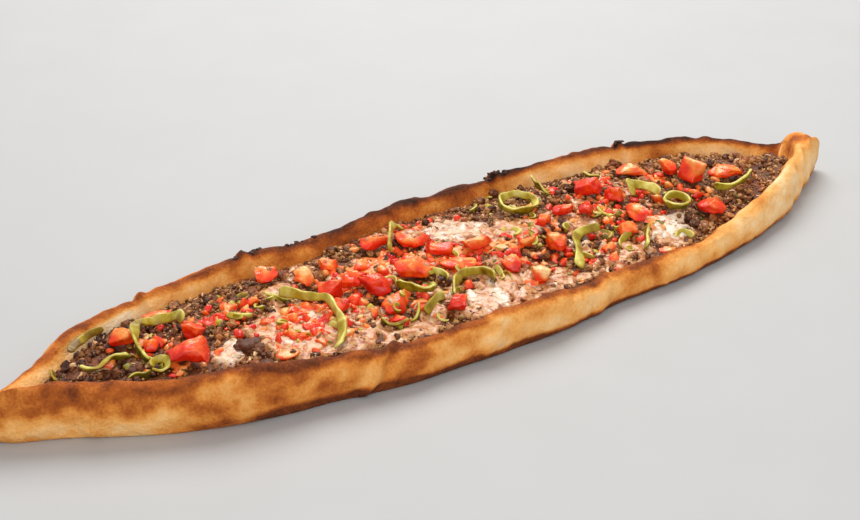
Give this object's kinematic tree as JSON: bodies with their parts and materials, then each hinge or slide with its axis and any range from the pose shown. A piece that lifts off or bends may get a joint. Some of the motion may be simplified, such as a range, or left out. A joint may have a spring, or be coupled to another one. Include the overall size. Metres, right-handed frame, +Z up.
{
  "type": "turkish pide",
  "caption": "Boat-shaped flatbread with folded-in sides and pinched ends, filled with minced meat and topped with melted cheese, cut tomato and sliced green pepper.",
  "frame": {"origin": "centre of the flat underside, at the level it rests on", "axes": "+X along the length towards the end where the near side laps over the far one in a blunt knob, +Y towards the far side, +Z up"},
  "size_m": [0.55, 0.1444, 0.0374],
  "materials": {
    "baked_crust": "matte",
    "minced_meat": "satin",
    "melted_cheese": "satin",
    "tomato": "gloss",
    "green_pepper": "gloss"
  },
  "bodies": {
    "root": {"dough": "baked_crust", "minced_meat": "minced_meat", "cheese_01": "melted_cheese", "cheese_02": "melted_cheese", "cheese_03": "melted_cheese", "cheese_04": "melted_cheese", "cheese_05": "melted_cheese", "cheese_06": "melted_cheese", "cheese_07": "melted_cheese", "cheese_08": "melted_cheese", "tomato_01": "tomato", "tomato_02": "tomato", "tomato_03": "tomato", "tomato_04": "tomato", "tomato_05": "tomato", "tomato_06": "tomato", "tomato_07": "tomato", "tomato_08": "tomato", "tomato_09": "tomato", "tomato_10": "tomato", "tomato_11": "tomato", "tomato_12": "tomato", "tomato_13": "tomato", "tomato_14": "tomato", "tomato_15": "tomato", "tomato_16": "tomato", "tomato_17": "tomato", "tomato_18": "tomato", "tomato_19": "tomato", "tomato_20": "tomato", "tomato_21": "tomato", "tomato_22": "tomato", "tomato_23": "tomato", "tomato_24": "tomato", "tomato_25": "tomato", "tomato_26": "tomato", "tomato_27": "tomato", "tomato_28": "tomato", "tomato_29": "tomato", "tomato_30": "tomato", "tomato_31": "tomato", "tomato_32": "tomato", "tomato_33": "tomato", "tomato_34": "tomato", "pepper_01": "green_pepper", "pepper_02": "green_pepper", "pepper_03": "green_pepper", "pepper_04": "green_pepper", "pepper_05": "green_pepper", "pepper_06": "green_pepper", "pepper_07": "green_pepper", "pepper_08": "green_pepper", "pepper_09": "green_pepper", "pepper_10": "green_pepper", "pepper_11": "green_pepper", "pepper_12": "green_pepper", "pepper_13": "green_pepper", "pepper_14": "green_pepper", "pepper_15": "green_pepper"}
  },
  "joints": []
}
